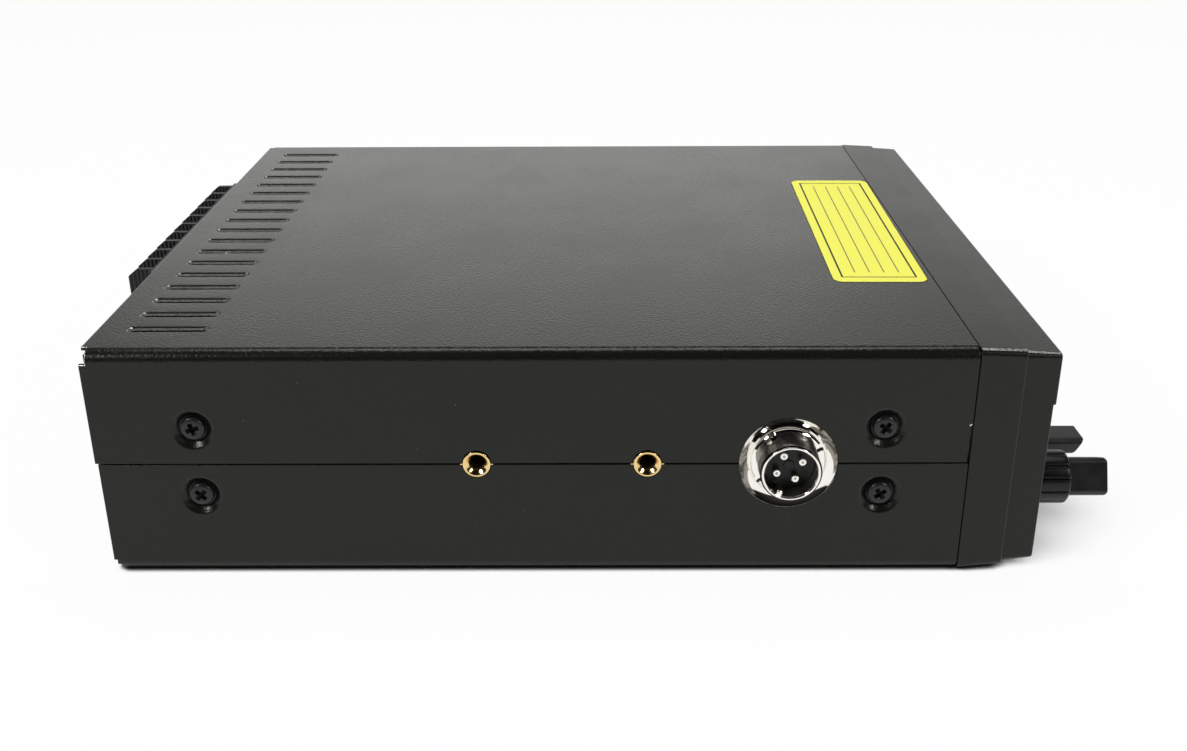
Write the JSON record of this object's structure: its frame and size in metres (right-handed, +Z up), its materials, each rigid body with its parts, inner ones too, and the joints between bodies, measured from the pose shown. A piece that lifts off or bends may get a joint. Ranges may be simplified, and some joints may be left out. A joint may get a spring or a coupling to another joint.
{
  "type": "amateur radio transceiver",
  "caption": "Mobile radio transceiver: flat folded-sheet case, slotted top, side microphone socket, dual bar-and-ring controls, channel knob, keys and a finned rear heat sink.",
  "frame": {"origin": "middle of the case's underside, on the face it rests on", "axes": "+X to the operator's right, +Y to the rear (the controls face -Y), +Z up"},
  "size_m": [0.2153, 0.2827, 0.0637],
  "materials": {
    "cover_paint": "satin fine texture",
    "black_screw": "black plated",
    "plated_steel": "plated",
    "brass": "machined",
    "black_anodised": "black anodised",
    "label_vinyl": "printed vinyl",
    "bezel_plastic": "moulded",
    "smoked_window": "polished",
    "lcd_glass": "satin",
    "circuit_board": "solder mask",
    "black_plastic": "moulded",
    "pot_metal": "cast",
    "chrome": "polished",
    "white_plastic": "moulded",
    "ribbon": "satin",
    "speaker_steel": "pressed",
    "cone_paper": "matt",
    "ferrite": "matt",
    "knob_plastic": "moulded",
    "shaft_metal": "turned",
    "grip_rubber": "ribbed",
    "key_plastic": "moulded"
  },
  "bodies": {
    "chassis": {"top_cover": "cover_paint", "bottom_cover": "cover_paint", "cover_screws": "black_screw", "left_rail": "plated_steel", "right_rail": "plated_steel", "bracket_nuts": "brass", "rear_panel": "cover_paint", "heat_sink": "black_anodised", "top_label": "label_vinyl", "front_bezel": "bezel_plastic", "front_subpanel": "plated_steel", "display_window": "smoked_window", "lcd_frame": "plated_steel", "lcd_glass": "lcd_glass", "control_board": "circuit_board", "key_switches": "black_plastic", "volume_pot": "pot_metal", "gain_pot": "pot_metal", "channel_encoder": "pot_metal", "panel_nuts": "plated_steel", "mic_dish": "chrome", "mic_nut": "chrome", "mic_barrel": "chrome", "mic_insert": "bezel_plastic", "mic_pins": "chrome", "antenna_shell": "chrome", "antenna_insulator": "white_plastic", "antenna_contact": "brass", "power_socket": "bezel_plastic", "power_pins": "brass", "phone_jacks": "bezel_plastic", "jack_nuts": "plated_steel", "main_board": "circuit_board", "chassis_screws": "plated_steel", "coil_cans": "plated_steel", "capacitors": "black_plastic", "power_transistors": "black_plastic", "ribbon_cable": "ribbon", "speaker_frame": "speaker_steel", "speaker_cone": "cone_paper", "speaker_magnet": "ferrite", "speaker_clips": "plated_steel"},
    "volume": {"volume_knob": "knob_plastic", "volume_shaft": "shaft_metal"},
    "squelch": {"squelch_ring": "knob_plastic", "squelch_shaft": "shaft_metal"},
    "mic_gain": {"mic_gain_knob": "knob_plastic", "mic_gain_shaft": "shaft_metal"},
    "rf_gain": {"rf_gain_ring": "knob_plastic", "rf_gain_shaft": "shaft_metal"},
    "channel": {"channel_knob": "knob_plastic", "channel_grip": "grip_rubber", "channel_shaft": "shaft_metal"},
    "key_1": {"button_1": "key_plastic"},
    "key_2": {"button_2": "key_plastic"},
    "key_3": {"button_3": "key_plastic"},
    "key_4": {"button_4": "key_plastic"},
    "key_5": {"button_5": "key_plastic"},
    "key_6": {"button_6": "key_plastic"}
  },
  "joints": [
    {"name": "volume_turn", "type": "hinge", "parent": "chassis", "child": "volume", "pos_m": [-0.0885, -0.128, 0.0196], "axis": [0, 1, 0], "range_deg": [0, 300]},
    {"name": "squelch_turn", "type": "hinge", "parent": "chassis", "child": "squelch", "pos_m": [-0.0885, -0.128, 0.0196], "axis": [0, 1, 0], "range_deg": [-150, 150]},
    {"name": "mic_gain_turn", "type": "hinge", "parent": "chassis", "child": "mic_gain", "pos_m": [-0.0665, -0.128, 0.0196], "axis": [0, 1, 0], "range_deg": [-66, 234]},
    {"name": "rf_gain_turn", "type": "hinge", "parent": "chassis", "child": "rf_gain", "pos_m": [-0.0665, -0.128, 0.0196], "axis": [0, 1, 0], "range_deg": [-150, 150]},
    {"name": "channel_turn", "type": "hinge", "parent": "chassis", "child": "channel", "pos_m": [0.0755, -0.128, 0.028], "axis": [0, 1, 0], "continuous": true},
    {"name": "key_1_push", "type": "slide", "parent": "chassis", "child": "key_1", "axis": [0, 1, 0], "range_m": [0, 0.0008], "stiffness_N_per_m": 700, "springref_m": -0.0008},
    {"name": "key_2_push", "type": "slide", "parent": "chassis", "child": "key_2", "axis": [0, 1, 0], "range_m": [0, 0.0008], "stiffness_N_per_m": 700, "springref_m": -0.0008},
    {"name": "key_3_push", "type": "slide", "parent": "chassis", "child": "key_3", "axis": [0, 1, 0], "range_m": [0, 0.0008], "stiffness_N_per_m": 700, "springref_m": -0.0008},
    {"name": "key_4_push", "type": "slide", "parent": "chassis", "child": "key_4", "axis": [0, 1, 0], "range_m": [0, 0.0008], "stiffness_N_per_m": 700, "springref_m": -0.0008},
    {"name": "key_5_push", "type": "slide", "parent": "chassis", "child": "key_5", "axis": [0, 1, 0], "range_m": [0, 0.0008], "stiffness_N_per_m": 700, "springref_m": -0.0008},
    {"name": "key_6_push", "type": "slide", "parent": "chassis", "child": "key_6", "axis": [0, 1, 0], "range_m": [0, 0.0008], "stiffness_N_per_m": 700, "springref_m": -0.0008}
  ]
}
